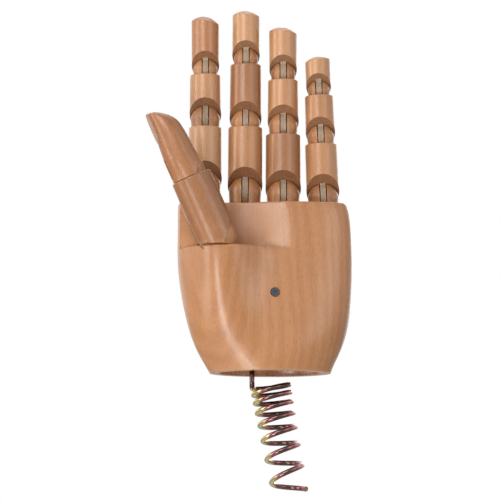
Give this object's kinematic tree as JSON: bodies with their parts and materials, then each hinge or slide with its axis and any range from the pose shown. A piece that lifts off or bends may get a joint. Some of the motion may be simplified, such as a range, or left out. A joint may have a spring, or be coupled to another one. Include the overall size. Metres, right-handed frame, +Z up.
{
  "type": "jointed wooden hand",
  "caption": "Life-size turned wooden artist's hand with pinned finger and thumb joints, a hollow wrist and a wire spring that hangs from a cross screw.",
  "frame": {"origin": "middle of the wrist's flat rim", "axes": "+Z up through the fingers, -Y out of the palm's front, -X towards the thumb"},
  "size_m": [0.1114, 0.0608, 0.2617],
  "materials": {
    "palm_wood": "satin lacquer",
    "pale_wood": "satin lacquer",
    "dark_wood": "satin lacquer",
    "head_wood": "satin",
    "tongue_wood": "bare",
    "pin_steel": "plated",
    "spring_steel": "yellow zinc"
  },
  "bodies": {
    "palm": {"palm": "palm_wood", "anchor_screw": "pin_steel", "wrist_spring": "spring_steel", "knuckle_pins": "pin_steel", "thumb_base_head": "head_wood", "index_knuckle_head": "head_wood", "middle_knuckle_head": "head_wood", "ring_knuckle_head": "head_wood", "little_knuckle_head": "head_wood"},
    "index_proximal": {"index_proximal_segment": "pale_wood", "index_knuckle_tongue": "tongue_wood", "index_middle_head": "head_wood", "index_middle_pin": "pin_steel"},
    "index_middle": {"index_middle_segment": "pale_wood", "index_middle_tongue": "tongue_wood", "index_tip_head": "head_wood", "index_tip_pin": "pin_steel"},
    "index_tip": {"index_tip_segment": "dark_wood", "index_tip_tongue": "tongue_wood"},
    "middle_proximal": {"middle_proximal_segment": "pale_wood", "middle_knuckle_tongue": "tongue_wood", "middle_middle_head": "head_wood", "middle_middle_pin": "pin_steel"},
    "middle_middle": {"middle_middle_segment": "dark_wood", "middle_middle_tongue": "tongue_wood", "middle_tip_head": "head_wood", "middle_tip_pin": "pin_steel"},
    "middle_tip": {"middle_tip_segment": "pale_wood", "middle_tip_tongue": "tongue_wood"},
    "ring_proximal": {"ring_proximal_segment": "dark_wood", "ring_knuckle_tongue": "tongue_wood", "ring_middle_head": "head_wood", "ring_middle_pin": "pin_steel"},
    "ring_middle": {"ring_middle_segment": "pale_wood", "ring_middle_tongue": "tongue_wood", "ring_tip_head": "head_wood", "ring_tip_pin": "pin_steel"},
    "ring_tip": {"ring_tip_segment": "pale_wood", "ring_tip_tongue": "tongue_wood"},
    "little_proximal": {"little_proximal_segment": "pale_wood", "little_knuckle_tongue": "tongue_wood", "little_middle_head": "head_wood", "little_middle_pin": "pin_steel"},
    "little_middle": {"little_middle_segment": "pale_wood", "little_middle_tongue": "tongue_wood", "little_tip_head": "head_wood", "little_tip_pin": "pin_steel"},
    "little_tip": {"little_tip_segment": "pale_wood", "little_tip_tongue": "tongue_wood"},
    "thumb_lower": {"thumb_lower_segment": "pale_wood", "thumb_base_tongue": "tongue_wood", "thumb_tip_head": "head_wood", "thumb_tip_pin": "pin_steel"},
    "thumb_tip": {"thumb_tip_segment": "dark_wood", "thumb_tip_tongue": "tongue_wood"}
  },
  "joints": [
    {"name": "index_knuckle_joint", "type": "hinge", "parent": "palm", "child": "index_proximal", "pos_m": [-0.0347, 0.003, 0.1025], "axis": [1, 0, 0], "range_deg": [0, 38]},
    {"name": "index_middle_joint", "type": "hinge", "parent": "index_proximal", "child": "index_middle", "pos_m": [-0.0347, 0.003, 0.1385], "axis": [1, 0, 0], "range_deg": [0, 70]},
    {"name": "index_tip_joint", "type": "hinge", "parent": "index_middle", "child": "index_tip", "pos_m": [-0.0347, 0.003, 0.1657], "axis": [1, 0, 0], "range_deg": [0, 70]},
    {"name": "middle_knuckle_joint", "type": "hinge", "parent": "palm", "child": "middle_proximal", "pos_m": [-0.0132, 0.003, 0.0987], "axis": [1, 0, -0.007], "range_deg": [0, 70]},
    {"name": "middle_middle_joint", "type": "hinge", "parent": "middle_proximal", "child": "middle_middle", "pos_m": [-0.01294, 0.003, 0.1363], "axis": [1, 0, -0.007], "range_deg": [0, 70]},
    {"name": "middle_tip_joint", "type": "hinge", "parent": "middle_middle", "child": "middle_tip", "pos_m": [-0.01269, 0.003, 0.1715], "axis": [1, 0, -0.007], "range_deg": [0, 70]},
    {"name": "ring_knuckle_joint", "type": "hinge", "parent": "palm", "child": "ring_proximal", "pos_m": [0.0075, 0.003, 0.0968], "axis": [1, 0, 0], "range_deg": [0, 70]},
    {"name": "ring_middle_joint", "type": "hinge", "parent": "ring_proximal", "child": "ring_middle", "pos_m": [0.0075, 0.003, 0.1347], "axis": [1, 0, 0], "range_deg": [0, 70]},
    {"name": "ring_tip_joint", "type": "hinge", "parent": "ring_middle", "child": "ring_tip", "pos_m": [0.0075, 0.003, 0.1636], "axis": [1, 0, 0], "range_deg": [0, 70]},
    {"name": "little_knuckle_joint", "type": "hinge", "parent": "palm", "child": "little_proximal", "pos_m": [0.0291, 0.003, 0.0954], "axis": [0.9993, 0, 0.0384], "range_deg": [0, 65]},
    {"name": "little_middle_joint", "type": "hinge", "parent": "little_proximal", "child": "little_middle", "pos_m": [0.02783, 0.003, 0.12858], "axis": [0.9993, 0, 0.0384], "range_deg": [0, 70]},
    {"name": "little_tip_joint", "type": "hinge", "parent": "little_middle", "child": "little_tip", "pos_m": [0.02684, 0.003, 0.15426], "axis": [0.9993, 0, 0.0384], "range_deg": [0, 70]},
    {"name": "thumb_base_joint", "type": "hinge", "parent": "palm", "child": "thumb_lower", "pos_m": [-0.028, -0.0255, 0.0704], "axis": [0.2079, -0.9781, 0], "range_deg": [-45, 0]},
    {"name": "thumb_tip_joint", "type": "hinge", "parent": "thumb_lower", "child": "thumb_tip", "pos_m": [-0.04368, -0.02883, 0.10639], "axis": [0.2079, -0.9781, 0], "range_deg": [-45, 0]}
  ]
}
